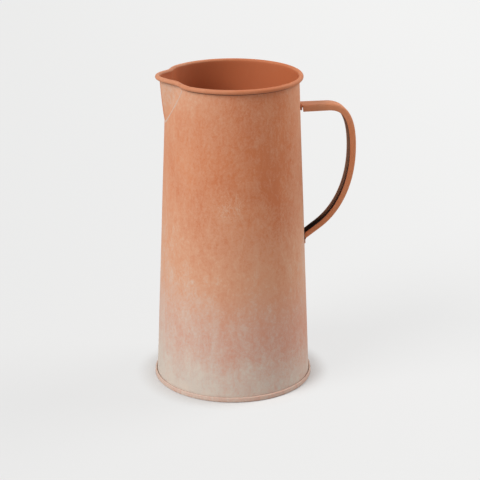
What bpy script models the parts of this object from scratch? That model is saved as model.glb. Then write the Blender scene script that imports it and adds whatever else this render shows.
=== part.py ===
"""A tall sheet-steel pitcher: tapered body, pouring gore, wired rim, folded foot and strap handle.

Metres, +Z up. The origin is the centre of the foot, on the surface the pitcher stands on.
The spout points along -X and the handle along +X; the XZ plane is its plane of symmetry.
"""

import math

import bmesh
import bpy
from mathutils import Vector
from mathutils.geometry import interpolate_bezier

# Driving dimensions of the body
HEIGHT = 0.300               # foot to the top of the rolled rim, away from the spout
FOOT_RADIUS = 0.0748         # outside of the wall at the foot
MOUTH_RADIUS = 0.0620        # outside of the wall at the rim's height
SHEET = 0.00045              # thickness of the body, spout and base sheet
SEAM_GAP = 0.00025           # clearance between the layers of a folded seam
FIT_GAP = 0.0003             # clearance between a welded or seated piece and what carries it

# Side seam of the body, under the handle
SEAM_WIDTH = 0.0045
SEAM_RISE = 0.0004
SEAM_SHOULDER = 0.0006       # width of the step on each side of the seam
SEAM_FADE = 0.0040           # height below the rim over which the seam fades out

# Rolled rim and the wire inside it
WIRE_RADIUS = 0.0014
WIRE_BUTT = 0.0008           # gap between the two ends of the wire, at the handle
CURL_TURN = math.radians(308)

# Spout: a gore let into a notch of the body's mouth
SPOUT_HALF_ANGLE = math.radians(31.3)
SPOUT_DEPTH = 0.0425         # rim down to the lowest point of the gore
SPOUT_REACH = 0.0061         # how far the lip stands out past the round mouth
SPOUT_RISE = 0.0018          # how far the tip stands above the rest of the rim
RISE_HALF_ANGLE = math.radians(50)
GORE_POWER = 1.587           # sweep of the gore's sides: 1 is a straight-sided V
KEEL_POWER = 0.8             # sweep of the keel line from the point up to the tip
NOSE_SHARE = 0.8             # share of the gore's width that its nose takes
NOSE_POWER = 0.9
PINCH_DEPTH = 0.0030         # how far the mouth is drawn in beside the nose
PINCH_FULL_ANGLE = math.radians(24)
PINCH_END_ANGLE = math.radians(44)
PINCH_HEIGHT = 0.045         # rim down to where the wall is round again
NOTCH_REACH = 0.25           # cutter on each side of the mouth's radius, as a share of it

# Folded double seam of the foot
SEAM_HEIGHT = 0.0048         # height of the folded band
BASE_BEND = 0.0012           # outside radius of the base plate's lower edge
SEAL_SIZE = 0.0019           # leg of the sealing bead in the inside corner
SEAL_HOLLOW = 0.42           # how far the bead's face is drawn in, as a share of its leg

# Handle: a channel of heavier sheet, open towards the body
STRAP_SHEET = 0.0006
HANDLE_DROP = 0.0311         # rim down to the top face of the handle
HANDLE_REACH = 0.0548        # wall at the upper joint to the furthest point of the strap
HANDLE_SPAN = 0.1343         # top face of the handle down to its lower joint
HANDLE_RUN = 0.0265          # straight top run
HANDLE_BULGE_DROP = 0.0468   # top face down to the furthest point
TOP_BEND_PULL = (0.0170, 0.0360)
LOWER_BEND_PULL = (0.0357, 0.0240)
LOWER_RUN = 0.0185           # straight run above the lower joint
LOWER_SLOPE = math.radians(36)
HANDLE_TOP_WIDTH = 0.0170
HANDLE_LOW_WIDTH = 0.0125
FLANGE_TOP_DEPTH = 0.0066
FLANGE_LOW_DEPTH = 0.0056
UPPER_FLANGE_ROUND = 0.0008  # length over which the flanges round off at each end
LOWER_FLANGE_ROUND = 0.0040
END_STATIONS = (0.12, 0.35, 0.7, 1.0)      # sections along a flange end, as shares of its length
STRAP_CORNER = 0.0023        # outside radius of the channel's corners
CORNER_SHARE = 0.7           # most of the section's depth that an outside corner takes
INNER_CORNER_SHARE = 0.6
TAB_BEND = 0.0016
UPPER_TAB = 0.0030           # flat of each tab beyond its bend
LOWER_TAB = 0.0030

# Weld beads
BEAD_WIDTH = 0.0020
BEAD_HEIGHT = 0.0005
BEAD_SECTION = ((-1, 0), (-0.6, 0.8), (0, 1), (0.6, 0.8), (1, 0), (0, 0))
TAB_BEAD_HEIGHT = 0.0008     # how far the bead at a tab's edge stands off the wall
TAB_BEAD_WIDTH = 0.0012
TAB_BEAD_WAIST = 0.6         # height of the bead halfway down, as a share of its height at the tab
TAB_BEAD_LENGTH = 0.7        # share of the strap's width
# (place along the bead, height there), both as shares
TAB_BEAD_STATIONS = (
    (-1.0, 0.55), (-0.9, 1.0), (-0.45, 1.0), (0.0, 1.0), (0.45, 1.0), (0.9, 1.0), (1.0, 0.55),
)

# Number of steps in curved stretches
SPOUT_ZONE = math.radians(50)
ZONE_STEPS = 14              # columns from the spout's axis to the edge of its zone
ROUND_STEPS = 20             # columns from there to the side seam
SPOUT_STEPS = 13             # columns of the gore on each side of its axis
CURL_STEPS = 9
BEND_STEPS = 5
WALL_ROWS = 5                # rows of the body's wall above the pinch's lowest point
GORE_ROWS = 5

# Derived sizes
CURL_BORE = WIRE_RADIUS + FIT_GAP
CURL_RADIUS = CURL_BORE + SHEET
CURL_Z = HEIGHT - CURL_RADIUS
RIM_UNDERSIDE = CURL_Z - CURL_RADIUS
APEX_Z = HEIGHT - SPOUT_DEPTH
PINCH_Z = HEIGHT - PINCH_HEIGHT
FOLD_BORE = SEAM_GAP + SHEET / 2           # inside radius of the two folds of the foot seam
FOLD_RADIUS = FOLD_BORE + SHEET
HEM_Z = SHEET + SEAM_GAP + FOLD_RADIUS     # centre of the body's fold, above the base plate
FOLD_Z = SEAM_HEIGHT - FOLD_RADIUS         # centre of the base plate's fold, at the band's top
BAND = 3 * (SEAM_GAP + SHEET)              # how far the folded band stands off the wall
HANDLE_TOP_Z = HEIGHT - HANDLE_DROP
LOWER_JOINT_Z = HANDLE_TOP_Z - HANDLE_SPAN
HANDLE_ANGLE = math.pi
FLAT_DEPTH = 1.2 * STRAP_SHEET             # section of the strap where the channel is flattened


def ease(t):
    """Rise smoothly from 0 to 1 as t goes from 0 to 1."""
    t = min(max(t, 0.0), 1.0)
    return t * t * (3 - 2 * t)


def taper(z):
    """Outside radius of the plain cone at height z."""
    return FOOT_RADIUS + (MOUTH_RADIUS - FOOT_RADIUS) * z / HEIGHT


def side_seam(angle, z):
    """Height of the lapped side seam above the cone; it fades out below the rolled rim."""
    away = (HANDLE_ANGLE - abs(angle)) * FOOT_RADIUS
    across = min(max((SEAM_WIDTH / 2 + SEAM_SHOULDER - away) / SEAM_SHOULDER, 0.0), 1.0)
    return SEAM_RISE * across * (1 - ease((z - RIM_UNDERSIDE + SEAM_FADE) / SEAM_FADE))


def pinch(angle, z):
    """How far the wall is drawn in on both sides of the spout."""
    across = 1 - ease((abs(angle) - PINCH_FULL_ANGLE) / (PINCH_END_ANGLE - PINCH_FULL_ANGLE))
    return PINCH_DEPTH * across * ease((z - PINCH_Z) / (CURL_Z - PINCH_Z))


def gore_share(z):
    """Height in the gore: 0 at its lowest point and 1 under the rim."""
    return max((z - APEX_Z) / (RIM_UNDERSIDE - APEX_Z), 0.0)


def gore_edge_z(angle):
    """Height of the gore's edge at an angle from the spout's axis."""
    share = min(abs(angle) / SPOUT_HALF_ANGLE, 1.0)
    return APEX_Z + (RIM_UNDERSIDE - APEX_Z) * share ** GORE_POWER


def nose(angle, z):
    """How far the gore stands out past the pinched wall."""
    share = gore_share(z)
    if share == 0.0:
        return 0.0
    half = NOSE_SHARE * SPOUT_HALF_ANGLE * min(share, 1.0) ** (1 / GORE_POWER)
    across = ((1 + math.cos(math.pi * min(abs(angle) / half, 1.0))) / 2) ** NOSE_POWER
    return across * (SPOUT_REACH * share ** KEEL_POWER + pinch(0.0, z))


def wall_radius(angle, z):
    """Outside radius of the body's wall; angle 0 is the spout and pi the handle."""
    return taper(z) + side_seam(angle, z) - pinch(angle, z)


def gore_radius(angle, z):
    """Outside radius of the gore, which is the body's own outside its edge."""
    return wall_radius(angle, z) + nose(angle, z)


def slant(radius, angle, z):
    """Stretch of a radial section where the sheet runs slantwise to it."""
    step = math.radians(0.5)
    turn = (radius(angle + step, z) - radius(angle - step, z)) / (2 * step)
    return math.hypot(1.0, turn / radius(angle, z))


def lift(angle, z):
    """How far the rim rises towards the tip of the spout."""
    across = (1 + math.cos(math.pi * min(abs(angle) / RISE_HALF_ANGLE, 1.0))) / 2
    return SPOUT_RISE * across * ease((z - PINCH_Z) / (CURL_Z - PINCH_Z))


def place(angle, out, z, carried_z=None, radius=wall_radius):
    """Point at a distance out from the sheet's outside; a rim point is carried by the rim's height."""
    base_z = z if carried_z is None else carried_z
    stretch = slant(radius, angle, base_z) if abs(angle) < SPOUT_ZONE else 1.0
    distance = radius(angle, base_z) + out * stretch
    height = z + lift(angle, base_z)
    return Vector((-distance * math.cos(angle), -distance * math.sin(angle), height))


def arc(centre, radius, start, end, steps):
    """Points (out, z) along an arc, angles in degrees."""
    turns = [math.radians(start + (end - start) * i / steps) for i in range(steps + 1)]
    return [(centre[0] + radius * math.cos(a), centre[1] + radius * math.sin(a)) for a in turns]


def make_material(name, colour, roughness, metallic):
    """Principled material with one colour."""
    material = bpy.data.materials.new(name)
    material.use_nodes = True
    shader = material.node_tree.nodes["Principled BSDF"]
    shader.inputs["Base Color"].default_value = (*colour, 1.0)
    shader.inputs["Roughness"].default_value = roughness
    shader.inputs["Metallic"].default_value = metallic
    material.diffuse_color = (*colour, 1.0)
    return material


def add_object(name, data, material):
    """Link an object to the scene with its material."""
    data.materials.append(material)
    item = bpy.data.objects.new(name, data)
    bpy.context.scene.collection.objects.link(item)
    return item


def skin(name, rings, material, closed=False):
    """Solid through a run of equal rings; the ends are capped unless the run closes on itself."""
    mesh = bmesh.new()
    rows = [[mesh.verts.new(point) for point in ring] for ring in rings]
    count = len(rows[0])
    following = rows[1:] + rows[:1] if closed else rows[1:]
    for row, after in zip(rows, following):
        for i in range(count):
            j = (i + 1) % count
            mesh.faces.new((row[i], row[j], after[j], after[i]))
    if not closed:
        mesh.faces.new(rows[0])
        mesh.faces.new(rows[-1])
    bmesh.ops.remove_doubles(mesh, verts=mesh.verts, dist=1e-7)
    loose = [edge for edge in mesh.edges if not edge.link_faces]
    bmesh.ops.delete(mesh, geom=loose, context="EDGES")
    bmesh.ops.recalc_face_normals(mesh, faces=mesh.faces)
    if mesh.calc_volume(signed=True) < 0:
        bmesh.ops.reverse_faces(mesh, faces=mesh.faces)
    data = bpy.data.meshes.new(name)
    mesh.to_mesh(data)
    mesh.free()
    data.shade_smooth()
    data.set_sharp_from_angle(angle=math.radians(38))
    return add_object(name, data, material)


def column_angles():
    """Angles of the body's columns, closer together at the spout and at the side seam."""
    seam = SEAM_WIDTH / 2 / FOOT_RADIUS
    shoulder = seam + SEAM_SHOULDER / FOOT_RADIUS
    half = [SPOUT_ZONE * i / ZONE_STEPS for i in range(ZONE_STEPS + 1)]
    half += [SPOUT_ZONE + (math.pi - SPOUT_ZONE) * i / ROUND_STEPS for i in range(1, ROUND_STEPS)]
    half += [math.pi - shoulder, math.pi - seam]
    return [-angle for angle in reversed(half[1:])] + half


def curl_section():
    """Rolled rim as (out, z): its outside from the inner wall round to the edge, then its bore."""
    centre = (CURL_BORE, CURL_Z)
    end = 180 - math.degrees(CURL_TURN)
    outside = arc(centre, CURL_RADIUS, 180, end, CURL_STEPS)
    bore = arc(centre, CURL_BORE, end, 180, CURL_STEPS)
    return outside + bore


def make_body():
    """Body sheet: foot hem, tapered wall and rolled rim, with a notch for the spout."""
    hem_centre = (FOLD_BORE, HEM_Z)
    flange_top = FOLD_Z + SHEET / 4
    wall_rows = [PINCH_Z + (CURL_Z - PINCH_Z) * i / WALL_ROWS for i in range(WALL_ROWS)]
    plain = [(-SHEET, z, z) for z in wall_rows]
    plain += [(out, z, CURL_Z) for out, z in curl_section()]
    plain += [(0.0, z, z) for z in reversed(wall_rows)]
    bore = arc(hem_centre, FOLD_BORE, 180, 360, BEND_STEPS)
    outside = arc(hem_centre, FOLD_RADIUS, 360, 180, BEND_STEPS)
    hem = bore + [(bore[-1][0], flange_top), (outside[0][0], flange_top)] + outside
    plain += [(out, z, z) for out, z in hem]
    rings = [[place(angle, *point) for point in plain] for angle in column_angles()]
    steel = make_material("terracotta_paint_body", (0.42, 0.23, 0.15), 0.75, 0.0)
    body = skin("body_shell", rings, steel, closed=True)
    notch = body.modifiers.new("spout_notch", "BOOLEAN")
    notch.operation = "DIFFERENCE"
    notch.solver = "MANIFOLD"    # the exact solver returns nothing for this sheet
    notch.object = make_notch_cutter()


def gore_offset(angle, margin):
    """Point (angle, z) at a distance margin outside the gore's edge, measured in the sheet."""
    z = gore_edge_z(angle)
    share = abs(angle) / SPOUT_HALF_ANGLE
    climb = (RIM_UNDERSIDE - APEX_Z) * GORE_POWER * share ** (GORE_POWER - 1) / SPOUT_HALF_ANGLE
    climb /= taper(z)
    length = math.hypot(1.0, climb)
    outward = math.copysign(margin * climb / length / taper(z), angle)
    return angle + outward, z - margin / length


def gore_angles(half):
    """Evenly spaced angles across the gore."""
    return [half * i / SPOUT_STEPS for i in range(-SPOUT_STEPS, SPOUT_STEPS + 1)]


def make_notch_cutter():
    """Wedge that follows the gore's edge with the seam's clearance, radial at every point."""
    inner = MOUTH_RADIUS * (1 - NOTCH_REACH)
    outer = MOUTH_RADIUS * (1 + NOTCH_REACH)
    top = HEIGHT + SPOUT_RISE + CURL_RADIUS
    rings = []
    for base_angle in gore_angles(SPOUT_HALF_ANGLE):
        angle, z = gore_offset(base_angle, SEAM_GAP)
        low = z + lift(angle, z)
        sheet = wall_radius(angle, z) - SHEET / 2
        ring = [(inner, low), (sheet, low), (outer, low), (outer, top), (sheet, top), (inner, top)]
        rings.append([Vector((-r * math.cos(angle), -r * math.sin(angle), h)) for r, h in ring])
    cutter = skin("notch_cutter", rings, make_material("cutter", (0.2, 0.2, 0.2), 0.5, 0.0))
    cutter.hide_render = True
    cutter.display_type = "WIRE"
    return cutter


def make_spout():
    """Gore with its own length of rolled rim."""
    rings = []
    for angle in gore_angles(SPOUT_HALF_ANGLE):
        edge = min(gore_edge_z(angle), RIM_UNDERSIDE)
        levels = [edge + (CURL_Z - edge) * i / GORE_ROWS for i in range(GORE_ROWS)]
        ring = [place(angle, -SHEET, z, z, gore_radius) for z in levels]
        ring += [place(angle, out, z, CURL_Z, gore_radius) for out, z in curl_section()]
        ring += [place(angle, 0.0, z, z, gore_radius) for z in reversed(levels)]
        rings.append(ring)
    skin("spout", rings, make_material("terracotta_paint_spout", (0.50, 0.33, 0.24), 0.75, 0.0))


def make_spout_weld():
    """Dressed weld that covers the joint between the gore and the body."""
    angles = [a for a in gore_angles(SPOUT_HALF_ANGLE) if gore_edge_z(a) < RIM_UNDERSIDE - BEAD_WIDTH]
    half = BEAD_WIDTH / 2
    rings = []
    for base_angle in angles:
        ring = []
        for across, height in BEAD_SECTION:
            angle, z = gore_offset(base_angle, SEAM_GAP / 2 + across * half)
            ring.append(place(angle, FIT_GAP + height * BEAD_HEIGHT, z, z, gore_radius))
        rings.append(ring)
    skin("spout_weld", rings, make_material("terracotta_paint_weld", (0.62, 0.45, 0.35), 0.7, 0.0))


def make_rim_wire():
    """Steel wire inside the rolled rim, in one loop that starts and ends at the handle."""
    spline_data = bpy.data.curves.new("rim_wire", "CURVE")
    spline_data.dimensions = "3D"
    spline_data.bevel_depth = WIRE_RADIUS
    spline_data.bevel_resolution = 2
    spline_data.use_fill_caps = True
    half_gap = WIRE_BUTT / 2 / MOUTH_RADIUS
    spacing = [a for a in column_angles() if abs(a) < math.pi - 4 * half_gap]
    angles = [-math.pi + half_gap] + spacing + [math.pi - half_gap]
    spline = spline_data.splines.new("POLY")
    spline.points.add(len(angles) - 1)
    for point, angle in zip(spline.points, angles):
        point.co = (*place(angle, CURL_BORE, CURL_Z, CURL_Z, gore_radius), 1.0)
    add_object("rim_wire", spline_data, make_material("wire_steel", (0.42, 0.42, 0.43), 0.4, 1.0))


def make_base_plate():
    """Flat base whose edge is folded over the body's hem and pressed up against the wall."""
    bend_out = BAND - BASE_BEND
    bend_centre = (bend_out, BASE_BEND)
    fold_centre = (SEAM_GAP + SHEET + FOLD_BORE, FOLD_Z)
    outline = arc(bend_centre, BASE_BEND, 270, 360, 3)
    outline += arc(fold_centre, FOLD_RADIUS, 0, 180, BEND_STEPS)
    outline += [(SEAM_GAP, HEM_Z), (SEAM_GAP + SHEET, HEM_Z)]
    outline += arc(fold_centre, FOLD_BORE, 180, 0, BEND_STEPS)
    outline += arc(bend_centre, BASE_BEND - SHEET, 360, 270, 3)
    bottom = Vector((0.0, 0.0, 0.0))
    top = Vector((0.0, 0.0, SHEET))
    rings = [[bottom] + [place(angle, out, z) for out, z in outline] + [top] for angle in column_angles()]
    paint = make_material("terracotta_paint_base", (0.45, 0.27, 0.2), 0.75, 0.0)
    skin("base_plate", rings, paint, closed=True)


def make_base_seal():
    """Bead of sealant in the corner between the wall and the base plate."""
    corner_z = SHEET + FIT_GAP
    corner_out = -SHEET - FIT_GAP
    hollow = SEAL_SIZE * SEAL_HOLLOW
    section = [
        (corner_out, corner_z),
        (corner_out, corner_z + SEAL_SIZE),
        (corner_out - hollow, corner_z + hollow),
        (corner_out - SEAL_SIZE, corner_z),
    ]
    rings = [[place(angle, out, z) for out, z in section] for angle in column_angles()]
    skin("base_seal", rings, make_material("seal_grey", (0.35, 0.33, 0.31), 0.6, 0.0), closed=True)


def bezier(start, start_pull, end_pull, end, steps):
    """Points of a curve in the XZ plane between two knots and their pulls."""
    knots = [Vector((x, 0.0, z)) for x, z in (start, start_pull, end_pull, end)]
    return [(p.x, p.z) for p in interpolate_bezier(*knots, steps + 1)]


def tab_face_x(z):
    """Radius of the wall's outside under the handle."""
    return wall_radius(HANDLE_ANGLE, z)


def handle_path():
    """Outside face of the strap in (x, z), from the upper tab to the lower tab, in three stretches."""
    upper_x = tab_face_x(HANDLE_TOP_Z) + FIT_GAP
    tab_low = HANDLE_TOP_Z - TAB_BEND - UPPER_TAB
    upper_tab = [(tab_face_x(tab_low) + FIT_GAP, tab_low)]
    upper_tab += arc((upper_x + TAB_BEND, HANDLE_TOP_Z - TAB_BEND), TAB_BEND, 180, 90, 4)

    far_x = tab_face_x(HANDLE_TOP_Z) + HANDLE_REACH
    far_z = HANDLE_TOP_Z - HANDLE_BULGE_DROP
    run_end = (upper_x + HANDLE_RUN, HANDLE_TOP_Z)
    down = (-math.cos(LOWER_SLOPE), -math.sin(LOWER_SLOPE))
    joint_x = tab_face_x(LOWER_JOINT_Z) + FIT_GAP + STRAP_SHEET
    low_start = (joint_x - down[0] * LOWER_RUN, LOWER_JOINT_Z - down[1] * LOWER_RUN)
    low_pull = (low_start[0] - down[0] * LOWER_BEND_PULL[1], low_start[1] - down[1] * LOWER_BEND_PULL[1])
    grip = [(upper_x + TAB_BEND + UPPER_FLANGE_ROUND * share, HANDLE_TOP_Z) for share in END_STATIONS]
    grip += bezier(run_end, (run_end[0] + TOP_BEND_PULL[0], run_end[1]),
                   (far_x, far_z + TOP_BEND_PULL[1]), (far_x, far_z), 11)
    grip += bezier((far_x, far_z), (far_x, far_z - LOWER_BEND_PULL[0]), low_pull, low_start, 12)[1:]

    turn = math.pi / 2 - LOWER_SLOPE
    setback = TAB_BEND * math.tan(turn / 2)
    bend_start = (joint_x - down[0] * setback, LOWER_JOINT_Z - down[1] * setback)
    flange = [LOWER_FLANGE_ROUND * share for share in reversed(END_STATIONS)]
    lower_end = [(bend_start[0] - down[0] * away, bend_start[1] - down[1] * away) for away in flange]
    bend_centre = (joint_x + TAB_BEND, LOWER_JOINT_Z - setback)
    lower_tab = arc(bend_centre, TAB_BEND, 180 - math.degrees(turn), 180, 3)
    tab_end = LOWER_JOINT_Z - setback - LOWER_TAB
    lower_tab.append((tab_face_x(tab_end) + FIT_GAP + STRAP_SHEET, tab_end))
    return upper_tab, grip + lower_end, lower_tab


def channel_section(half_width, depth):
    """Closed outline (across, inward) of a channel; a shallow depth makes it a flat strip."""
    outer = min(STRAP_CORNER, CORNER_SHARE * depth)
    inner = min(STRAP_CORNER - STRAP_SHEET, INNER_CORNER_SHARE * (depth - STRAP_SHEET))
    right = arc((half_width - outer, outer), outer, 270, 360, 3)
    right += [(half_width, depth), (half_width - STRAP_SHEET, depth)]
    right += arc((half_width - STRAP_SHEET - inner, STRAP_SHEET + inner), inner, 360, 270, 2)
    return right + [(-across, inward) for across, inward in reversed(right)]


def make_handle():
    """Strap: a channel that flattens into a welded tab at each end."""
    upper_tab, grip, lower_tab = handle_path()
    path = upper_tab + grip + lower_tab
    lengths = [0.0]
    for before, after in zip(path, path[1:]):
        lengths.append(lengths[-1] + math.dist(before, after))
    grip_start = lengths[len(upper_tab) - 1]
    grip_end = lengths[len(upper_tab) + len(grip)]
    rings = []
    for i, (x, z) in enumerate(path):
        before = path[max(i - 1, 0)]
        after = path[min(i + 1, len(path) - 1)]
        along = Vector((after[0] - before[0], 0.0, after[1] - before[1])).normalized()
        inward = Vector((along.z, 0.0, -along.x))
        share = lengths[i] / lengths[-1]
        half_width = (HANDLE_TOP_WIDTH + (HANDLE_LOW_WIDTH - HANDLE_TOP_WIDTH) * share) / 2
        depth = FLANGE_TOP_DEPTH + (FLANGE_LOW_DEPTH - FLANGE_TOP_DEPTH) * share
        from_start = (lengths[i] - grip_start) / UPPER_FLANGE_ROUND
        from_end = (grip_end - lengths[i]) / LOWER_FLANGE_ROUND
        rounded = math.sqrt(1 - (1 - min(max(min(from_start, from_end), 0.0), 1.0)) ** 2)
        section = channel_section(half_width, FLAT_DEPTH + (depth - FLAT_DEPTH) * rounded)
        centre = Vector((x, 0.0, z))
        rings.append([centre + Vector((0.0, across, 0.0)) + inward * deep for across, deep in section])
    paint = make_material("terracotta_paint_handle", (0.60, 0.34, 0.22), 0.65, 0.0)
    skin("handle_strap", rings, paint)
    return path


def make_tab_weld(name, edge_z, width):
    """Fillet of weld along the free edge of a handle tab."""
    top_z = edge_z - FIT_GAP
    low_z = top_z - TAB_BEAD_WIDTH
    rings = []
    for share, swell in TAB_BEAD_STATIONS:
        height = TAB_BEAD_HEIGHT * swell
        section = ((FIT_GAP, top_z), (FIT_GAP + height, top_z),
                   (FIT_GAP + height * TAB_BEAD_WAIST, (top_z + low_z) / 2), (FIT_GAP, low_z))
        rings.append([Vector((tab_face_x(z) + out, share * width / 2, z)) for out, z in section])
    skin(name, rings, make_material("terracotta_paint_" + name, (0.45, 0.28, 0.2), 0.7, 0.0))


def main():
    """Build every piece."""
    for item in list(bpy.data.objects):
        bpy.data.objects.remove(item, do_unlink=True)
    make_body()
    make_spout()
    make_spout_weld()
    make_rim_wire()
    make_base_plate()
    make_base_seal()
    path = make_handle()
    make_tab_weld("handle_weld_upper", path[0][1], HANDLE_TOP_WIDTH * TAB_BEAD_LENGTH)
    make_tab_weld("handle_weld_lower", path[-1][1], HANDLE_LOW_WIDTH * TAB_BEAD_LENGTH)


main()
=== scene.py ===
import math
import bmesh
import bpy
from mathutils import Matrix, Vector, noise
from mathutils.geometry import interpolate_bezier


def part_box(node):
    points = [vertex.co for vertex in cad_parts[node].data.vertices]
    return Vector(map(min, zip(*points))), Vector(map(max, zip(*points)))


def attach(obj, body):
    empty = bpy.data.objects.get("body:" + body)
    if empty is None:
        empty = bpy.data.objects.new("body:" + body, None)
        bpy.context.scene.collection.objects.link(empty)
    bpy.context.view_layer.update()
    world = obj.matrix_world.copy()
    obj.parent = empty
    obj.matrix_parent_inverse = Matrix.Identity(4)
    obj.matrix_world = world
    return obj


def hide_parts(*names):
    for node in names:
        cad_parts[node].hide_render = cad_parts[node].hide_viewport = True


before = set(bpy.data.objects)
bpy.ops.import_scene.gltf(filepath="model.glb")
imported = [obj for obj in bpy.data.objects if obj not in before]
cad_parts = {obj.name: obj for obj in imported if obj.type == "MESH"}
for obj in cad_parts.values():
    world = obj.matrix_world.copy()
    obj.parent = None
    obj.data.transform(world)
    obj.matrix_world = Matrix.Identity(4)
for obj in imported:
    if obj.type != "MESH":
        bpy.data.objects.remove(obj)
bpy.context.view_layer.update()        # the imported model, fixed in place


def smoothStep(t):
    t = min(max(t, 0.0), 1.0)
    return t * t * (3 - 2 * t)


# ---- shape of the sheet: metres, angle 0 at the spout and pi at the handle
wall = {
    "height": 0.300,
    "footRadius": 0.07478,
    "mouthRadius": 0.0620,
    "sheet": 0.00045,
    "seamWidth": 0.0045,
    "seamRise": 0.0004,
    "seamShoulder": 0.0006,
    "wireRadius": 0.0014,
    "wireGap": 0.0003,
    "curlTurn": 308,         # degrees of the rolled rim
    "dent": 0.00022,         # hand-beaten unevenness of the wall
    "crevice": 0.0010,       # painted shade: dark line under the rolled rim, standing in for its shadow
}
gore = {
    "halfAngle": math.radians(31.3),
    "depth": 0.0425,
    "reach": 0.0061,
    "rise": 0.00175,
    "riseAngle": math.radians(50),
    "power": 1.587,
    "keelPower": 0.8,
    "noseShare": 0.8,
    "nosePower": 0.9,
    "pinch": 0.0030,
    "pinchFull": math.radians(24),
    "pinchEnd": math.radians(44),
    "pinchHeight": 0.045,
    "seamGap": 0.00025,
}
curlBore = wall["wireRadius"] + wall["wireGap"]
curlRadius = curlBore + wall["sheet"]
curlZ = wall["height"] - curlRadius
rimUnderside = curlZ - curlRadius
apexZ = wall["height"] - gore["depth"]
pinchZ = wall["height"] - gore["pinchHeight"]
rimShadeZ = rimUnderside - wall["crevice"]


def taper(z):
    return wall["footRadius"] + (wall["mouthRadius"] - wall["footRadius"]) * z / wall["height"]


def sideSeam(angle, z):
    away = (math.pi - abs(angle)) * wall["footRadius"]
    across = min(max((wall["seamWidth"] / 2 + wall["seamShoulder"] - away) / wall["seamShoulder"], 0.0), 1.0)
    return wall["seamRise"] * smoothStep(across) * (1 - smoothStep((z - rimUnderside + 0.004) / 0.004))


def pinch(angle, z):
    span = gore["pinchEnd"] - gore["pinchFull"]
    across = 1 - smoothStep((abs(angle) - gore["pinchFull"]) / span)
    return gore["pinch"] * across * smoothStep((z - pinchZ) / (curlZ - pinchZ))


def goreShare(z):
    return max((z - apexZ) / (rimUnderside - apexZ), 0.0)


def goreEdge(angle):
    share = min(abs(angle) / gore["halfAngle"], 1.0)
    return apexZ + (rimUnderside - apexZ) * share ** gore["power"]


def nose(angle, z):
    share = goreShare(z)
    if share == 0.0:
        return 0.0
    half = gore["noseShare"] * gore["halfAngle"] * min(share, 1.0) ** (1 / gore["power"])
    across = ((1 + math.cos(math.pi * min(abs(angle) / half, 1.0))) / 2) ** gore["nosePower"]
    return across * (gore["reach"] * share ** gore["keelPower"] + pinch(0.0, z))


def dent(angle, z):
    # soft waves of the sheet, none at the folded foot or at the rolled rim
    hold = smoothStep((z - 0.006) / 0.02) * (1 - smoothStep((z - 0.27) / 0.02))
    where = Vector((math.cos(angle) * 1.6, math.sin(angle) * 1.6, z * 14))
    return wall["dent"] * hold * (noise.noise(where) - 0.15)


def wallRadius(angle, z):
    return taper(z) + sideSeam(angle, z) - pinch(angle, z) + dent(angle, z)


def goreRadius(angle, z):
    return wallRadius(angle, z) + nose(angle, z)


def lift(angle, z):
    across = (1 + math.cos(math.pi * min(abs(angle) / gore["riseAngle"], 1.0))) / 2
    return gore["rise"] * across * smoothStep((z - pinchZ) / (curlZ - pinchZ))


def slant(radius, angle, z):
    step = math.radians(0.5)
    turn = (radius(angle + step, z) - radius(angle - step, z)) / (2 * step)
    return math.hypot(1.0, turn / radius(angle, z))


def place(angle, out, z, carriedZ=None, radius=wallRadius):
    baseZ = z if carriedZ is None else carriedZ
    stretch = slant(radius, angle, baseZ) if abs(angle) < gore["riseAngle"] else 1.0
    distance = radius(angle, baseZ) + out * stretch
    return Vector((-distance * math.cos(angle), -distance * math.sin(angle), z + lift(angle, baseZ)))


def arc(centre, radius, start, end, steps):
    turns = [math.radians(start + (end - start) * i / steps) for i in range(steps + 1)]
    return [(centre[0] + radius * math.cos(a), centre[1] + radius * math.sin(a)) for a in turns]


def skin(name, rings, closed=False, bands=None):
    # bands gives the material index of each strip of faces along the rings
    mesh = bmesh.new()
    rows = [[mesh.verts.new(point) for point in ring] for ring in rings]
    count = len(rows[0])
    following = rows[1:] + rows[:1] if closed else rows[1:]
    for row, after in zip(rows, following):
        for i in range(count):
            j = (i + 1) % count
            face = mesh.faces.new((row[i], row[j], after[j], after[i]))
            face.material_index = bands[i] if bands else 0
            face.smooth = True
    if not closed:
        for row in (rows[0], rows[-1]):
            mesh.faces.new(row)
    bmesh.ops.remove_doubles(mesh, verts=mesh.verts, dist=1e-7)
    bmesh.ops.delete(mesh, geom=[e for e in mesh.edges if not e.link_faces], context="EDGES")
    bmesh.ops.recalc_face_normals(mesh, faces=mesh.faces)
    if mesh.calc_volume(signed=True) < 0:
        bmesh.ops.reverse_faces(mesh, faces=mesh.faces)
    data = bpy.data.meshes.new(name)
    mesh.to_mesh(data)
    mesh.free()
    data.set_sharp_from_angle(angle=math.radians(40))
    piece = bpy.data.objects.new(name, data)
    bpy.context.scene.collection.objects.link(piece)
    return piece


def finishPiece(piece, node, materials):
    for material in materials:
        piece.data.materials.append(material)
    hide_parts(node)
    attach(piece, "root")


def columnAngles(step):
    seam = wall["seamWidth"] / 2 / wall["footRadius"]
    shoulder = seam + wall["seamShoulder"] / wall["footRadius"]
    count = round(math.pi / math.radians(step))
    half = [math.pi * i / count for i in range(count)]
    half = [a for a in half if a < math.pi - shoulder * 1.2]
    half += [math.pi - shoulder, math.pi - (seam + shoulder) / 2, math.pi - seam, math.pi - seam / 2]
    return [-a for a in reversed(half[1:])] + half + [math.pi]


def rolledRim(steps):
    centre = (curlBore, curlZ)
    end = 180 - wall["curlTurn"]
    outside = arc(centre, curlRadius, 180, end, steps)
    bore = arc(centre, curlBore, end, 180, steps)
    return outside, bore


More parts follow.
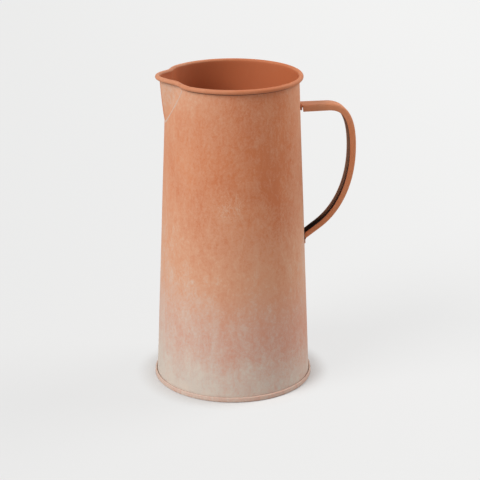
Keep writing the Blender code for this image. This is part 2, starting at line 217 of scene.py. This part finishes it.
# ---- paint
paint = {
    "clay": (0.600, 0.208, 0.084),        # saturated terracotta
    "clayDark": (0.520, 0.158, 0.062),
    "clayPink": (0.605, 0.308, 0.186),
    "clayRose": (0.565, 0.290, 0.208),    # the same, low on the wall
    "lime": (0.590, 0.500, 0.420),        # chalky wash
    "limeGrey": (0.545, 0.470, 0.405),
    "inside": (0.490, 0.140, 0.053),
}


def nodeMaker(material):
    tree = material.node_tree
    links = tree.links

    def add(kind, **settings):
        node = tree.nodes.new(kind)
        for key, value in settings.items():
            if key in node.inputs:
                node.inputs[key].default_value = value
            else:
                setattr(node, key, value)
        return node

    def join(source, target):
        links.new(source, target)

    return add, join


def math2(add, join, operation, first, second, clamp=False):
    node = add("ShaderNodeMath", operation=operation, use_clamp=clamp)
    for socket, value in ((node.inputs[0], first), (node.inputs[1], second)):
        if isinstance(value, (int, float)):
            socket.default_value = value
        else:
            join(value, socket)
    return node.outputs[0]


def stretchedNoise(add, join, where, stretch, scale, detail, rough=0.55, distort=0.0):
    mapping = add("ShaderNodeMapping")
    mapping.inputs["Scale"].default_value = stretch
    join(where, mapping.inputs["Vector"])
    texture = add("ShaderNodeTexNoise")
    texture.inputs["Scale"].default_value = scale
    texture.inputs["Detail"].default_value = detail
    texture.inputs["Roughness"].default_value = rough
    texture.inputs["Distortion"].default_value = distort
    join(mapping.outputs["Vector"], texture.inputs["Vector"])
    return texture.outputs["Fac"]


def curveOf(add, join, value, points):
    # points are (value in, amount out) from low to high
    ramp = add("ShaderNodeFloatCurve")
    curve = ramp.mapping.curves[0]
    curve.points[0].location = points[0]
    curve.points[1].location = points[-1]
    for point in points[1:-1]:
        curve.points.new(*point)
    ramp.mapping.update()
    join(value, ramp.inputs["Value"])
    return ramp.outputs[0]


def mixColour(add, join, amount, first, second):
    node = add("ShaderNodeMix", data_type="RGBA")
    for socket, value in ((node.inputs[0], amount), (node.inputs[6], first), (node.inputs[7], second)):
        if isinstance(value, tuple):
            socket.default_value = (*value, 1.0)
        elif isinstance(value, (int, float)):
            socket.default_value = value
        else:
            join(value, socket)
    return node.outputs[2]


def fade(add, join, value, start, end):
    # 0 at start and 1 at end
    node = add("ShaderNodeMapRange", interpolation_type="SMOOTHSTEP")
    node.inputs["From Min"].default_value = start
    node.inputs["From Max"].default_value = end
    join(value, node.inputs["Value"])
    return node.outputs[0]


def limewash(name, look):
    material = bpy.data.materials.new(name)
    material.use_nodes = True
    add, join = nodeMaker(material)
    shader = material.node_tree.nodes["Principled BSDF"]
    where = add("ShaderNodeTexCoord").outputs["Object"]
    split = add("ShaderNodeSeparateXYZ")
    join(where, split.inputs[0])
    height = math2(add, join, "DIVIDE", split.outputs["Z"], wall["height"], clamp=True)
    side = math2(add, join, "MULTIPLY", split.outputs["X"], -look["sideLime"] / wall["footRadius"])
    # away from the spout the wash thins, except at the foot; at the very back a painted sheen whitens the wall,
    # standing in for its grazing reflection
    behind = math2(add, join, "MULTIPLY", math2(add, join, "MINIMUM", side, 0.0),
                   fade(add, join, split.outputs["Z"], -0.01, 0.07))
    side = math2(add, join, "ADD", math2(add, join, "MAXIMUM", side, 0.0), behind)
    # painted reflection: whitening towards the back edge, standing in for a grazing sheen
    back = math2(add, join, "MULTIPLY", fade(add, join, split.outputs["X"], 0.028, 0.068), look["backSheen"])
    back = math2(add, join, "MULTIPLY", back, fade(add, join, split.outputs["Z"], 0.04, 0.13))
    side = math2(add, join, "ADD", side, back)

    broad = stretchedNoise(add, join, where, (1, 1, 0.55), 15, 3, 0.5, 0.6)
    cloud = stretchedNoise(add, join, where, (1, 1, 0.75), 46, 6, 0.62, 1.1)
    veil = stretchedNoise(add, join, where, (1.3, 1.3, 0.6), 85, 6, 0.6, 2.2)
    streak = stretchedNoise(add, join, where, (1, 1, 0.13), 110, 4, 0.6, 0.3)
    grain = stretchedNoise(add, join, where, (1, 1, 0.9), 400, 6, 0.8, 0.4)

    lime = curveOf(add, join, height, look["limeCurve"])
    lime = math2(add, join, "ADD", lime, side)
    for texture, weight in ((broad, look["broad"]), (cloud, look["cloud"]), (veil, look["veil"]),
                            (streak, look["streak"]), (grain, look["grain"])):
        swing = math2(add, join, "MULTIPLY", math2(add, join, "SUBTRACT", texture, 0.5), weight)
        lime = math2(add, join, "ADD", lime, swing)
    if look["rimVeil"]:
        # paler wash under the rim, on the spout's side
        upper = fade(add, join, split.outputs["Z"], 0.264, 0.290)
        towards = fade(add, join, split.outputs["X"], -0.028, -0.058)
        patch = math2(add, join, "MULTIPLY", math2(add, join, "MULTIPLY", upper, towards), look["rimVeil"])
        lime = math2(add, join, "ADD", lime, patch)
    if look["keel"]:
        # bare clay along the keel of the spout
        off = math2(add, join, "ABSOLUTE", split.outputs["Y"], 0.0)
        lime = math2(add, join, "SUBTRACT", lime,
                     math2(add, join, "MULTIPLY", fade(add, join, off, 0.0050, 0.0012), look["keel"]))
    if look["scratch"]:
        # worn patch of fine scratches
        away = add("ShaderNodeVectorMath", operation="DISTANCE")
        join(where, away.inputs[0])
        away.inputs[1].default_value = look["scratchAt"]
        near = fade(add, join, away.outputs["Value"], 0.022, 0.003)
        thread = stretchedNoise(add, join, where, (1, 1, 0.5), 340, 3, 0.6, 0.8)
        line = math2(add, join, "ABSOLUTE", math2(add, join, "SUBTRACT", thread, 0.5), 0.0)
        line = math2(add, join, "SUBTRACT", 1.0, math2(add, join, "MULTIPLY", line, 24.0), clamp=True)
        worn = math2(add, join, "MULTIPLY", math2(add, join, "MULTIPLY", near, line), look["scratch"])
        lime = math2(add, join, "ADD", lime, worn)
    lime = math2(add, join, "MAXIMUM", math2(add, join, "MINIMUM", lime, 1.0), 0.0)

    deep = math2(add, join, "MULTIPLY", math2(add, join, "SUBTRACT", broad, 0.42), 3.0, clamp=True)
    clay = mixColour(add, join, deep, look["dark"], look["clay"])
    pale = math2(add, join, "MULTIPLY", math2(add, join, "SUBTRACT", cloud, 0.35), 3.0, clamp=True)
    chalk = mixColour(add, join, pale, paint["limeGrey"], paint["lime"])
    low = math2(add, join, "MULTIPLY", lime, 2.0, clamp=True)
    high = math2(add, join, "MULTIPLY", math2(add, join, "SUBTRACT", lime, 0.5), 2.0, clamp=True)
    rose = mixColour(add, join, fade(add, join, split.outputs["Z"], 0.125, 0.050), paint["clayPink"], paint["clayRose"])
    colour = mixColour(add, join, low, clay, rose)
    colour = mixColour(add, join, high, colour, chalk)
    if look["endShade"]:
        # painted shade: dark at the closed lower end of the handle's channel
        endShade = math2(add, join, "MULTIPLY", fade(add, join, split.outputs["Z"], 0.160, 0.147), look["endShade"])
        colour = mixColour(add, join, endShade, colour, (0.03, 0.016, 0.011))
    join(colour, shader.inputs["Base Color"])

    rough = math2(add, join, "ADD", look["rough"], math2(add, join, "MULTIPLY", cloud, 0.18))
    join(rough, shader.inputs["Roughness"])
    shader.inputs["Specular IOR Level"].default_value = look["gloss"]
    bump = add("ShaderNodeBump")
    bump.inputs["Strength"].default_value = look["bump"]
    bump.inputs["Distance"].default_value = 0.0004
    relief = math2(add, join, "ADD", grain, math2(add, join, "MULTIPLY", veil, 1.2))
    join(relief, bump.inputs["Height"])
    join(bump.outputs[0], shader.inputs["Normal"])
    return material


outsideLook = {
    "clay": paint["clay"], "dark": paint["clayDark"],
    "limeCurve": [(0.0, 0.92), (0.083, 0.80), (0.167, 0.63), (0.25, 0.56), (0.33, 0.47), (0.5, 0.33),
                  (0.6, 0.20), (0.667, 0.14), (0.78, 0.10), (0.88, 0.15), (1.0, 0.24)],
    "sideLime": 0.20, "backSheen": 0.36, "broad": 0.30, "cloud": 0.42, "veil": 0.50, "streak": 0.24, "grain": 0.85,
    "rimVeil": 0.20, "keel": 0.0, "endShade": 0.0, "scratch": 0.42, "scratchAt": (-0.014, -0.0651, 0.1907),
    "rough": 0.66, "gloss": 0.3, "bump": 0.35,
}
quiet = dict(outsideLook, rimVeil=0.0, scratch=0.0)
bare = [(0.0, 0.0), (0.5, 0.0), (1.0, 0.0)]
rimLook = dict(quiet, clay=(0.560, 0.195, 0.080), dark=(0.500, 0.155, 0.062), backSheen=0.12,
               limeCurve=[(0.0, 0.07), (0.5, 0.07), (1.0, 0.07)], broad=0.2, streak=0.1, cloud=0.3,
               veil=0.2, grain=0.25, rough=0.55, bump=0.25)
insideLook = dict(quiet, clay=paint["inside"], dark=paint["inside"], limeCurve=bare, sideLime=0.0, backSheen=0.0,
                  broad=0.06, streak=0.03, cloud=0.10, veil=0.05, grain=0.06, rough=0.5, gloss=0.35, bump=0.1)
# painted shade: a dark clay band just under the rolled rim, standing in for the rim's shadow
rimShadeLook = dict(insideLook, clay=(0.20, 0.080, 0.045), dark=(0.12, 0.050, 0.030))
spoutLook = dict(quiet, limeCurve=[(0.0, 0.5), (0.8, 0.30), (0.88, 0.34), (0.93, 0.48), (1.0, 0.60)],
                 sideLime=0.0, keel=0.34, streak=0.5)
# painted light: the handle's clay is a lighter copy of the body's, making up for light the strap gets too little of
handleLook = dict(quiet, clay=(0.670, 0.240, 0.098), dark=(0.600, 0.200, 0.080), backSheen=0.0,
                  limeCurve=[(0.0, 0.06), (0.5, 0.05), (0.8, 0.06), (0.88, 0.14), (1.0, 0.2)], sideLime=0.0, broad=0.2, streak=0.1, cloud=0.3, veil=0.2, grain=0.25, rough=0.52, bump=0.25)
# painted shade darkens the flange and the channel at the handle's closed lower end
flangeLook = dict(handleLook, clay=(0.52, 0.300, 0.200), dark=(0.44, 0.235, 0.150), limeCurve=bare, cloud=0.1, endShade=0.95)
# painted shade: near-black clay on the bottom of the handle's channel, standing in for the shade deep inside it
channelShadeLook = dict(flangeLook, clay=(0.12, 0.055, 0.035), dark=(0.08, 0.036, 0.024))
weldLook = dict(quiet, limeCurve=[(0.0, 0.74), (0.85, 0.74), (1.0, 0.80)], sideLime=0.0, rough=0.6)
baseLook = dict(quiet, limeCurve=[(0.0, 0.76), (0.03, 0.74), (1.0, 0.5)], sideLime=0.06, backSheen=0.0, streak=0.1,
                broad=0.2, cloud=0.25)

outsidePaint = limewash("limewash_outside", outsideLook)
rimPaint = limewash("clay_rim", rimLook)
insidePaint = limewash("clay_inside", insideLook)
rimShadePaint = limewash("painted_rim_shade", rimShadeLook)
spoutPaint = limewash("limewash_spout", spoutLook)
handlePaint = limewash("clay_handle", handleLook)
flangePaint = limewash("clay_flange", flangeLook)
channelShadePaint = limewash("painted_channel_shade", channelShadeLook)
weldPaint = limewash("limewash_weld", weldLook)
basePaint = limewash("limewash_base", baseLook)
print("paints mixed")


def zincWire():
    material = bpy.data.materials.new("zinc_wire")
    material.use_nodes = True
    add, join = nodeMaker(material)
    shader = material.node_tree.nodes["Principled BSDF"]
    shader.inputs["Metallic"].default_value = 1.0
    where = add("ShaderNodeTexCoord").outputs["Object"]
    spangle = stretchedNoise(add, join, where, (1, 1, 1), 700, 4)
    join(mixColour(add, join, spangle, (0.32, 0.32, 0.34), (0.56, 0.56, 0.57)), shader.inputs["Base Color"])
    join(math2(add, join, "ADD", 0.25, math2(add, join, "MULTIPLY", spangle, 0.35)), shader.inputs["Roughness"])
    return material


def sealant():
    material = bpy.data.materials.new("seam_sealant")
    material.use_nodes = True
    add, join = nodeMaker(material)
    shader = material.node_tree.nodes["Principled BSDF"]
    where = add("ShaderNodeTexCoord").outputs["Object"]
    lump = stretchedNoise(add, join, where, (1, 1, 1), 260, 5)
    join(mixColour(add, join, lump, (0.20, 0.10, 0.07), (0.34, 0.17, 0.11)), shader.inputs["Base Color"])
    join(math2(add, join, "ADD", 0.35, math2(add, join, "MULTIPLY", lump, 0.3)), shader.inputs["Roughness"])
    bump = add("ShaderNodeBump")
    bump.inputs["Strength"].default_value = 0.5
    bump.inputs["Distance"].default_value = 0.0005
    join(lump, bump.inputs["Height"])
    join(bump.outputs[0], shader.inputs["Normal"])
    return material


# ---- body sheet
foot = {
    "bandHeight": 0.0048,
    "baseBend": 0.0012,
    "sealSize": 0.0019,
    "fitGap": 0.0003,
}
foldBore = gore["seamGap"] + wall["sheet"] / 2
foldRadius = foldBore + wall["sheet"]
hemZ = wall["sheet"] + gore["seamGap"] + foldRadius
foldZ = foot["bandHeight"] - foldRadius
band = 3 * (gore["seamGap"] + wall["sheet"])


def goreOffset(angle, margin):
    z = goreEdge(angle)
    share = abs(angle) / gore["halfAngle"]
    climb = (rimUnderside - apexZ) * gore["power"] * share ** (gore["power"] - 1) / gore["halfAngle"]
    climb /= taper(z)
    length = math.hypot(1.0, climb)
    return angle + math.copysign(margin * climb / length / taper(z), angle), z - margin / length


def goreAngles(steps):
    return [gore["halfAngle"] * i / steps for i in range(-steps, steps + 1)]


def notchCutter():
    inner = wall["mouthRadius"] * 0.75
    outer = wall["mouthRadius"] * 1.25
    top = wall["height"] + gore["rise"] + curlRadius
    rings = []
    for baseAngle in goreAngles(30):
        angle, z = goreOffset(baseAngle, gore["seamGap"])
        low = z + lift(angle, z)
        sheet = wallRadius(angle, z) - wall["sheet"] / 2
        ring = [(inner, low), (sheet, low), (outer, low), (outer, top), (sheet, top), (inner, top)]
        rings.append([Vector((-r * math.cos(angle), -r * math.sin(angle), h)) for r, h in ring])
    return skin("notchCutter", rings)


def makeBody():
    wallRows = [0.008 + (pinchZ - 0.008) * i / 34 for i in range(34)]
    wallRows += [pinchZ + (curlZ - pinchZ) * i / 14 for i in range(14)]
    outside, bore = rolledRim(22)
    plain = [(-wall["sheet"], z, z, 1) for z in wallRows]
    plain += [(out, z, curlZ, 2) for out, z in outside + bore]
    outerRows = sorted(wallRows + [rimShadeZ, rimUnderside], reverse=True)
    # the strip just under the rim takes the painted shade
    plain += [(0.0, z, z, 3 if z > rimShadeZ + 1e-6 else 0) for z in outerRows]
    hemBore = arc((foldBore, hemZ), foldBore, 180, 360, 8)
    hemOut = arc((foldBore, hemZ), foldRadius, 360, 180, 8)
    flangeTop = foldZ + wall["sheet"] / 4
    hem = hemBore + [(hemBore[-1][0], flangeTop), (hemOut[0][0], flangeTop)] + hemOut
    plain += [(out, z, z, 0) for out, z in hem]
    bands = [point[3] for point in plain]
    rings = [[place(angle, *point[:3]) for point in plain] for angle in columnAngles(2.0)]
    body = skin("bodySheet", rings, closed=True, bands=bands)
    for material in (outsidePaint, insidePaint, rimPaint, rimShadePaint):
        body.data.materials.append(material)     # before the cut, which would drop them
    cutter = notchCutter()
    notch = body.modifiers.new("notch", "BOOLEAN")
    notch.operation = "DIFFERENCE"
    notch.solver = "MANIFOLD"
    notch.object = cutter
    bpy.context.view_layer.update()
    cut = bpy.data.meshes.new_from_object(body.evaluated_get(bpy.context.evaluated_depsgraph_get()))
    body.modifiers.clear()
    body.data = cut
    bpy.data.objects.remove(cutter, do_unlink=True)
    finishPiece(body, "body_shell", [])
    print("body", len(body.data.polygons), "faces")


def makeSpout():
    rows = 26
    outside, bore = rolledRim(22)
    rings = []
    for angle in goreAngles(48):
        edge = min(goreEdge(angle), rimUnderside)
        line = max(rimShadeZ, edge + 0.0002)
        under = max(rimUnderside, line + 0.0002)
        levels = [edge + (line - edge) * i / (rows - 3) for i in range(rows - 3)]
        levels += [line, under, (under + curlZ) / 2]
        ring = [place(angle, -wall["sheet"], z, z, goreRadius) for z in levels]
        ring += [place(angle, out, z, curlZ, goreRadius) for out, z in outside + bore]
        ring += [place(angle, 0.0, z, z, goreRadius) for z in reversed(levels)]
        rings.append(ring)
    # the two strips just under the rim take the painted shade
    bands = [1] * rows + [2] * (len(outside) + len(bore)) + [3, 3] + [0] * (rows - 2)
    spout = skin("spoutGore", rings, bands=bands)
    finishPiece(spout, "spout", [spoutPaint, insidePaint, rimPaint, rimShadePaint])
    print("spout made")


seam = {"width": 0.0021, "height": 0.00030, "wander": 0.00035, "base": -0.00005}


def makeSpoutWeld():
    # dressed weld: a thin uneven ridge that covers the joint
    rings = []
    for baseAngle in goreAngles(150):
        if goreEdge(baseAngle) > rimUnderside - 0.0024:
            continue
        wander = noise.noise(Vector((baseAngle * 9, 3.1, 0.0))) * seam["wander"]
        swell = 1 + 0.18 * noise.noise(Vector((baseAngle * 55, 7.7, 0.0)))
        half = seam["width"] / 2 * swell
        ring = []
        for turn in range(0, 181, 20):
            across = -math.cos(math.radians(turn))
            rise = math.sin(math.radians(turn))
            angle, z = goreOffset(baseAngle, gore["seamGap"] / 2 + wander + across * half)
            ring.append(place(angle, seam["base"] + rise * seam["height"] * swell, z, z, goreRadius))
        rings.append(ring)
    weld = skin("spoutSeamWeld", rings)
    finishPiece(weld, "spout_weld", [weldPaint])


def makeWire():
    rings = []
    gap = 0.0004 / wall["mouthRadius"]
    count = 240
    for i in range(count + 1):
        angle = -math.pi + gap + (2 * math.pi - 2 * gap) * i / count
        ring = []
        for side in range(16):
            turn = 2 * math.pi * side / 16
            out = curlBore + wall["wireRadius"] * math.cos(turn)
            ring.append(place(angle, out, curlZ + wall["wireRadius"] * math.sin(turn), curlZ, goreRadius))
        rings.append(ring)
    wire = skin("rimWire", rings)
    finishPiece(wire, "rim_wire", [zincWire()])


def makeBase():
    bend = (band - foot["baseBend"], foot["baseBend"])
    fold = (gore["seamGap"] + wall["sheet"] + foldBore, foldZ)
    outline = arc(bend, foot["baseBend"], 270, 360, 7)
    outline += arc(fold, foldRadius, 0, 180, 12)
    outline += [(gore["seamGap"], hemZ), (gore["seamGap"] + wall["sheet"], hemZ)]
    outline += arc(fold, foldBore, 180, 0, 10)
    outline += arc(bend, foot["baseBend"] - wall["sheet"], 360, 270, 6)
    floorRadii = [0.0, 0.012, 0.03, 0.05, 0.066]
    rings = []
    for angle in columnAngles(2.0):
        under = [Vector((-r * math.cos(angle), -r * math.sin(angle), 0.0)) for r in floorRadii]
        edge = [place(angle, out, z) for out, z in outline]
        above = [point + Vector((0.0, 0.0, wall["sheet"])) for point in reversed(under)]
        rings.append(under + edge + above)
    bands = [0] * (len(floorRadii) + len(outline) - 1) + [1] * (len(floorRadii) + 1)
    base = skin("basePlate", rings, closed=True, bands=bands)
    finishPiece(base, "base_plate", [basePaint, insidePaint])


def makeSeal():
    # hand-run bead, a little uneven
    rings = []
    inset = -wall["sheet"] - foot["fitGap"]
    for angle in columnAngles(3.0):
        size = foot["sealSize"] * (0.88 + 0.12 * noise.noise(Vector((math.cos(angle) * 9, math.sin(angle) * 9, 1.0))))
        curve = arc((inset - size, wall["sheet"] + foot["fitGap"] + size), size, 270, 360, 6)
        section = [(inset, wall["sheet"] + foot["fitGap"])]
        section += [(out, z) for out, z in reversed(curve)]
        rings.append([place(angle, out, z) for out, z in section])
    seal = skin("baseSeal", rings, closed=True)
    finishPiece(seal, "base_seal", [sealant()])


# ---- handle
strap = {
    "sheet": 0.0006,
    "run": 0.0265,
    "bulgeDrop": 0.0468,
    "topPull": (0.0170, 0.0360),
    "lowPull": (0.0357, 0.0240),
    "lowRun": 0.0185,
    "lowSlope": math.radians(36),
    "topWidth": 0.0170,
    "lowWidth": 0.0125,
    "topDepth": 0.0066,
    "lowDepth": 0.0056,
    "upperRound": 0.0008,
    "lowerRound": 0.0040,
    "corner": 0.0023,
    "tabBend": 0.0016,
    "upperTab": 0.0030,
    "lowerTab": 0.0030,
    "jointDrop": 0.1343,
    "hem": 0.00062,          # radius of the rolled edge of each flange
}


def strapPath():
    low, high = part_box("handle_strap")
    gap = foot["fitGap"]
    topZ = high[2]
    farX = high[0]
    jointZ = topZ - strap["jointDrop"]
    seamX = [wallRadius(math.pi, z) for z in (topZ, jointZ)]
    upperX = seamX[0] + gap
    bendRadius = strap["tabBend"]
    tabLow = topZ - bendRadius - strap["upperTab"]
    path = [(wallRadius(math.pi, tabLow) + gap, tabLow)]
    path += arc((upperX + bendRadius, topZ - bendRadius), bendRadius, 180, 90, 8)
    upperCount = len(path)
    path += [(upperX + bendRadius + strap["upperRound"] * share, topZ) for share in (0.04, 0.12, 0.25, 0.42, 0.62, 0.8, 1.0)]
    runEnd = (upperX + strap["run"], topZ)
    path += [(path[-1][0] + (runEnd[0] - path[-1][0]) * i / 6, topZ) for i in range(1, 6)]
    down = (-math.cos(strap["lowSlope"]), -math.sin(strap["lowSlope"]))
    jointX = seamX[1] + gap + strap["sheet"]
    lowStart = (jointX - down[0] * strap["lowRun"], jointZ - down[1] * strap["lowRun"])
    lowPull = (lowStart[0] - down[0] * strap["lowPull"][1], lowStart[1] - down[1] * strap["lowPull"][1])
    farZ = topZ - strap["bulgeDrop"]
    for knots, steps in (((runEnd, (runEnd[0] + strap["topPull"][0], topZ), (farX, farZ + strap["topPull"][1]),
                           (farX, farZ)), 34),
                         (((farX, farZ), (farX, farZ - strap["lowPull"][0]), lowPull, lowStart), 40)):
        points = interpolate_bezier(*[Vector((x, 0.0, z)) for x, z in knots], steps + 1)
        path += [(p.x, p.z) for p in points[:-1]]
    turn = math.pi / 2 - strap["lowSlope"]
    setback = bendRadius * math.tan(turn / 2)
    start = (jointX - down[0] * setback, jointZ - down[1] * setback)
    ends = [strap["lowRun"] - setback] + [strap["lowerRound"] * share for share in (1.0, 0.8, 0.62, 0.42, 0.25, 0.12, 0.04)]
    path += [(start[0] - down[0] * away, start[1] - down[1] * away) for away in ends]
    gripCount = len(path)
    path += arc((jointX + bendRadius, jointZ - setback), bendRadius, 180 - math.degrees(turn), 180, 6)
    tabEnd = jointZ - setback - strap["lowerTab"]
    path.append((wallRadius(math.pi, tabEnd) + gap + strap["sheet"], tabEnd))
    return path, upperCount, gripCount


def channelSection(halfWidth, depth, full):
    # outside, then the rolled edge, then the inside of the channel
    sheet = strap["sheet"]
    outer = min(strap["corner"], 0.7 * depth)
    inner = max(min(strap["corner"] - sheet, (depth - sheet) * 0.6), 0.00002)
    hem = sheet / 2 + (strap["hem"] - sheet / 2) * full
    right = [(halfWidth * share, 0.00015 * (share / 0.8) ** 2) for share in (0.0, 0.35, 0.6)][1:]
    right += arc((halfWidth - outer, outer), outer, 270, 360, 8)
    edge = arc((halfWidth - hem, depth - hem), hem, 0, 180, 6) if full > 0.05 else \
        [(halfWidth - sheet * i / 6, depth) for i in range(7)]
    right += edge
    cornerZ = sheet + inner
    right.append((halfWidth - sheet, cornerZ + max(depth - hem - cornerZ, 0.0) * 0.12))
    right += arc((halfWidth - sheet - inner, cornerZ), inner, 360, 270, 6)
    right = [(across, max(inward, 0.0)) for across, inward in right]
    return right + [(-across, inward) for across, inward in reversed(right)]


def makeHandle():
    path, upperCount, gripCount = strapPath()
    lengths = [0.0]
    for before, after in zip(path, path[1:]):
        lengths.append(lengths[-1] + math.dist(before, after))
    flat = strap["sheet"] * 1.2
    rings = []
    for i, (x, z) in enumerate(path):
        before = path[max(i - 1, 0)]
        after = path[min(i + 1, len(path) - 1)]
        along = Vector((after[0] - before[0], 0.0, after[1] - before[1])).normalized()
        inward = Vector((along.z, 0.0, -along.x))
        share = lengths[i] / lengths[-1]
        halfWidth = (strap["topWidth"] + (strap["lowWidth"] - strap["topWidth"]) * share) / 2
        depth = strap["topDepth"] + (strap["lowDepth"] - strap["topDepth"]) * share
        fromEnd = min((lengths[i] - lengths[upperCount - 1]) / strap["upperRound"],
                      (lengths[gripCount] - lengths[i]) / strap["lowerRound"])
        rounded = math.sqrt(1 - (1 - min(max(fromEnd, 0.0), 1.0)) ** 2)
        section = channelSection(halfWidth, flat + (depth - flat) * rounded, rounded)
        centre = Vector((x, 0.0, z))
        rings.append([centre + Vector((0.0, across, 0.0)) + inward * deep for across, deep in section])
    half = len(rings[0]) // 2
    bands = []
    for i in range(2 * half):
        strip = min(i, 2 * half - 2 - i)     # outside, then the flange's inner face, then the bottom, which takes the painted shade
        bands.append(0 if strip < 14 else 1 if strip < 18 else 2)
    handle = skin("handleStrap", rings, bands=bands)
    finishPiece(handle, "handle_strap", [handlePaint, flangePaint, channelShadePaint])
    print("handle made")
    return path


def makeTabWeld(name, node):
    low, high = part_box(node)
    middle = (low[2] + high[2]) / 2
    rings = []
    steps = 28
    for i in range(steps + 1):
        share = -1 + 2 * i / steps
        y = share * (high[1] - low[1]) / 2
        size = max(1 - share ** 6, 0.05) ** 0.5 * (0.9 + 0.1 * noise.noise(Vector((y * 900, 2.0, middle * 10))))
        ring = []
        for turn in range(0, 360, 30):
            out = 0.5 + 0.48 * size * math.cos(math.radians(turn))
            up = 0.48 * size * math.sin(math.radians(turn))
            ring.append(Vector((low[0] + (high[0] - low[0]) * out, y, middle + (high[2] - low[2]) * up)))
        rings.append(ring)
    finishPiece(skin(name, rings), node, [handlePaint])


# ---- studio
studio = {
    "camera": (-0.24177, -1.37112, 0.62955),
    "tilt": (70.487, 0.0, -10.285),
    "lens": 114.97,
    "floorColour": (0.55, 0.55, 0.545),       # what lights the pitcher from below
    "floorSeen": (0.70, 0.70, 0.695),
    "glowLeft": (0.815, 0.815, 0.812),
    "glowRight": (0.905, 0.905, 0.900),
    "glowShare": 0.80,       # how much of the floor's seen colour stays out of the shadows
    "sky": 0.40,
}


def makeStudio():
    scene = bpy.context.scene
    scene.view_settings.view_transform = "Standard"
    eye = bpy.data.cameras.new("camera")
    eye.lens = studio["lens"]
    eye.sensor_width = 36
    camera = bpy.data.objects.new("camera", eye)
    camera.location = studio["camera"]
    camera.rotation_euler = [math.radians(v) for v in studio["tilt"]]
    scene.collection.objects.link(camera)
    scene.camera = camera

    # lamps are suns with a wide disc: (name, azimuth from +X, elevation, strength, width)
    for name, azimuth, elevation, strength, width in (("keyLamp", 205, 38, 2.5, 35), ("fillLamp", 12, 35, 1.7, 40)):
        data = bpy.data.lights.new(name, "SUN")
        data.energy = strength
        data.angle = math.radians(width)
        lamp = bpy.data.objects.new(name, data)
        towards = Vector((math.cos(math.radians(azimuth)) * math.cos(math.radians(elevation)),
                          math.sin(math.radians(azimuth)) * math.cos(math.radians(elevation)),
                          math.sin(math.radians(elevation))))
        lamp.rotation_euler = towards.to_track_quat("Z", "Y").to_euler()
        scene.collection.objects.link(lamp)

    world = bpy.data.worlds.new("studio")
    world.use_nodes = True
    scene.world = world
    tree = world.node_tree
    background = tree.nodes["Background"]
    background.inputs["Color"].default_value = (1, 1, 1, 1)
    path = tree.nodes.new("ShaderNodeLightPath")
    seen = tree.nodes.new("ShaderNodeMath")
    seen.operation = "MAXIMUM"
    tree.links.new(path.outputs["Is Camera Ray"], seen.inputs[0])
    tree.links.new(path.outputs["Is Glossy Ray"], seen.inputs[1])
    strength = tree.nodes.new("ShaderNodeMapRange")
    strength.inputs["To Min"].default_value = studio["sky"]
    strength.inputs["To Max"].default_value = 0.87
    tree.links.new(seen.outputs[0], strength.inputs["Value"])
    tree.links.new(strength.outputs[0], background.inputs["Strength"])

    mesh = bpy.data.meshes.new("floor")
    build = bmesh.new()
    bmesh.ops.create_circle(build, cap_ends=True, segments=64, radius=9.0)
    build.to_mesh(mesh)
    build.free()
    floor = bpy.data.objects.new("floor", mesh)
    floor.location.z = -0.0001
    scene.collection.objects.link(floor)
    material = bpy.data.materials.new("paleFloor")
    material.use_nodes = True
    shader = material.node_tree.nodes["Principled BSDF"]
    shader.inputs["Base Color"].default_value = (*studio["floorColour"], 1.0)
    shader.inputs["Roughness"].default_value = 0.9
    shader.inputs["Specular IOR Level"].default_value = 0.1
    add, join = nodeMaker(material)
    seen = add("ShaderNodeLightPath").outputs["Is Camera Ray"]
    join(mixColour(add, join, seen, studio["floorColour"], studio["floorSeen"]), shader.inputs["Base Color"])
    where = add("ShaderNodeTexCoord").outputs["Object"]
    split = add("ShaderNodeSeparateXYZ")
    join(where, split.inputs[0])
    glow = add("ShaderNodeEmission", Strength=1.0)
    join(mixColour(add, join, fade(add, join, split.outputs["X"], -0.6, 0.8), studio["glowLeft"], studio["glowRight"]),
         glow.inputs["Color"])
    both = add("ShaderNodeMixShader")
    reach = add("ShaderNodeVectorMath", operation="LENGTH")
    join(where, reach.inputs[0])
    # the contact shadow keeps its depth close to the foot
    share = math2(add, join, "MULTIPLY", fade(add, join, reach.outputs["Value"], 0.075, 0.098), studio["glowShare"])
    join(math2(add, join, "MULTIPLY", seen, share), both.inputs[0])
    join(shader.outputs[0], both.inputs[1])
    join(glow.outputs[0], both.inputs[2])
    join(both.outputs[0], material.node_tree.nodes["Material Output"].inputs["Surface"])
    mesh.materials.append(material)
    print("studio lit")


makeStudio()
makeBody()
makeSpout()
makeSpoutWeld()
makeWire()
makeBase()
makeSeal()
makeHandle()
makeTabWeld("upperTabWeld", "handle_weld_upper")
makeTabWeld("lowerTabWeld", "handle_weld_lower")
